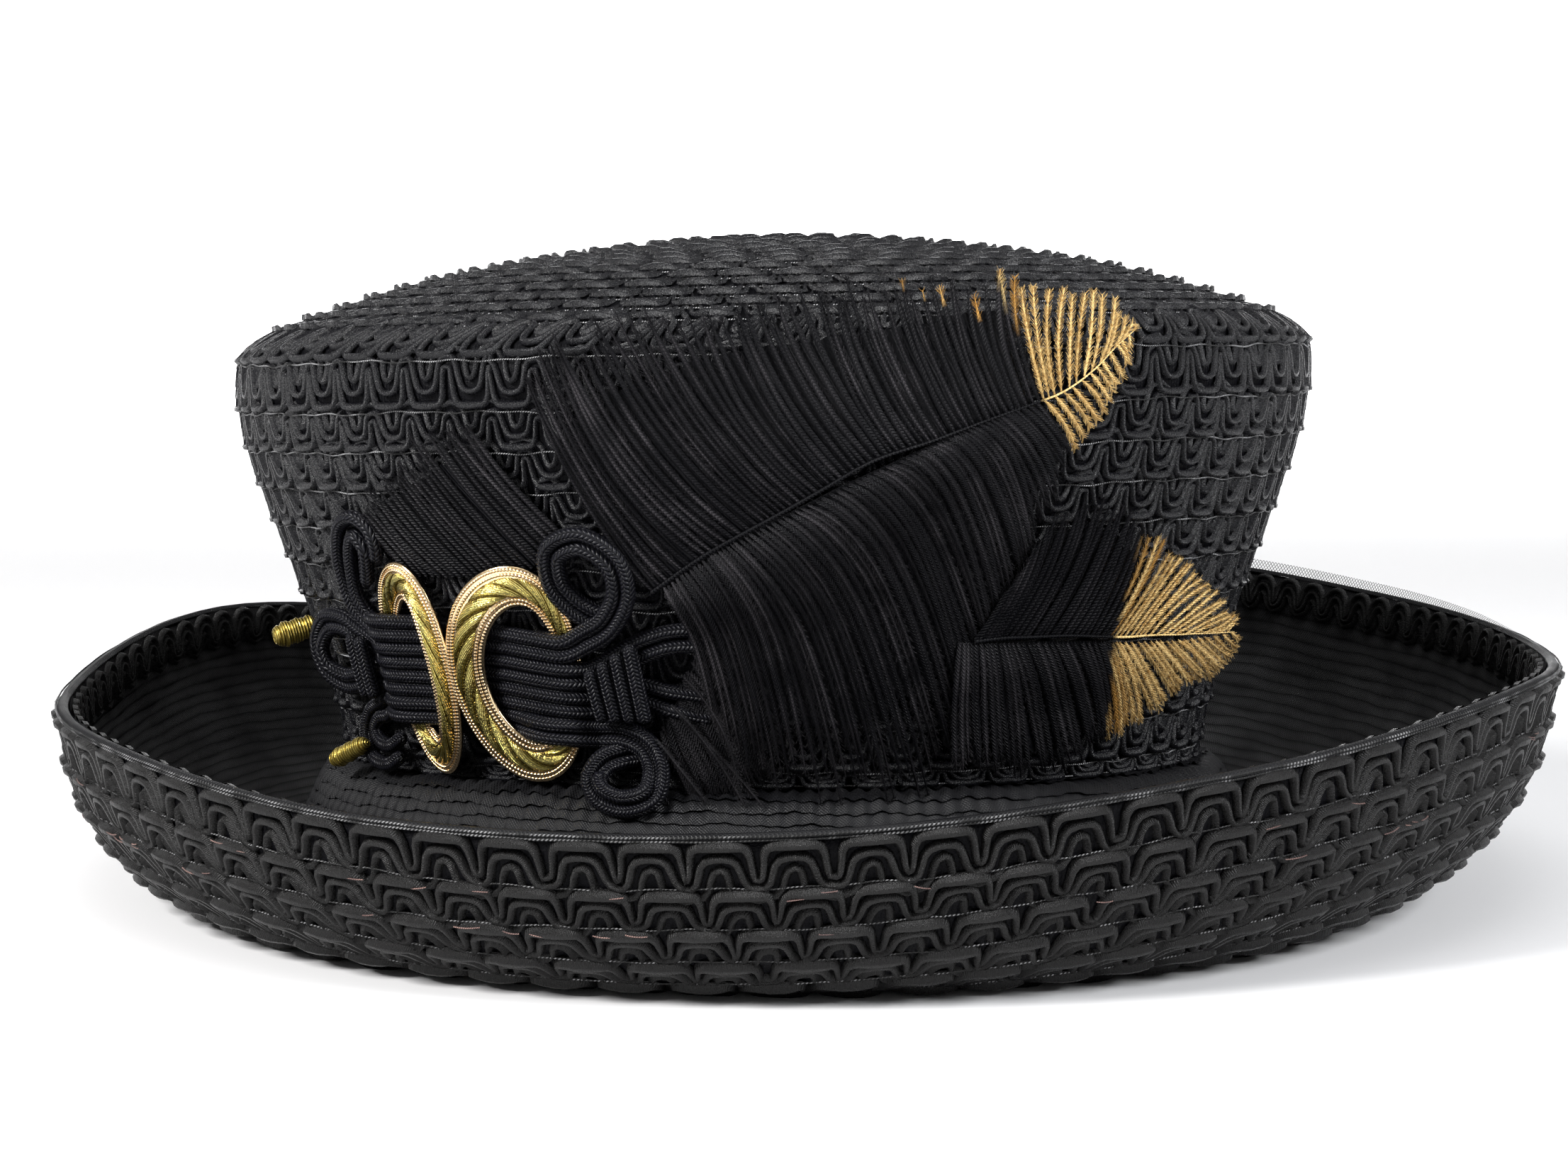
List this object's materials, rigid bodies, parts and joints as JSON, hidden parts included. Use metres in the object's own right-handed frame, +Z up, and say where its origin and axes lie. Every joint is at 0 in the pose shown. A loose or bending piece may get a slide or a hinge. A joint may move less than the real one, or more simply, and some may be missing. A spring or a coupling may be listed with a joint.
{
  "type": "feathered braid hat",
  "caption": "Oval hat of sewn black braid with a flared crown and rolled-up brim, a cord ornament through a gilt slide, and black feathers with gilded tips.",
  "frame": {"origin": "on the surface that the hat rests on, under the middle of its box", "axes": "+Z up, +X toward the hat's back, -Y toward its trimmed side"},
  "size_m": [0.359, 0.318, 0.1548],
  "materials": {
    "braid": "black rayon braid, softly glossy",
    "net": "fine black woven net",
    "cord": "black braided cord with a silky sheen",
    "gilt": "bright gilt metal, darkened in its hollows",
    "gold_thread": "wound gold thread",
    "feather": "black feather barbs, tips gilded",
    "steel": "bright wire"
  },
  "bodies": {
    "root": {"crown": "braid", "brim": "braid", "brim_facing": "net", "inner_rim_row": "braid", "cord_1": "cord", "cord_2": "cord", "cord_3": "cord", "cord_4": "cord", "cord_5": "cord", "cord_6": "cord", "front_wrap_1": "cord", "front_wrap_2": "cord", "back_wrap_1": "cord", "back_wrap_2": "cord", "back_wrap_3": "cord", "back_wrap_4": "cord", "buckle": "gilt", "upper_gilt_end": "gold_thread", "lower_gilt_end": "gold_thread", "feather_upper": "feather", "feather_lower": "feather", "feather_tuft": "feather", "pin": "steel"}
  },
  "joints": []
}
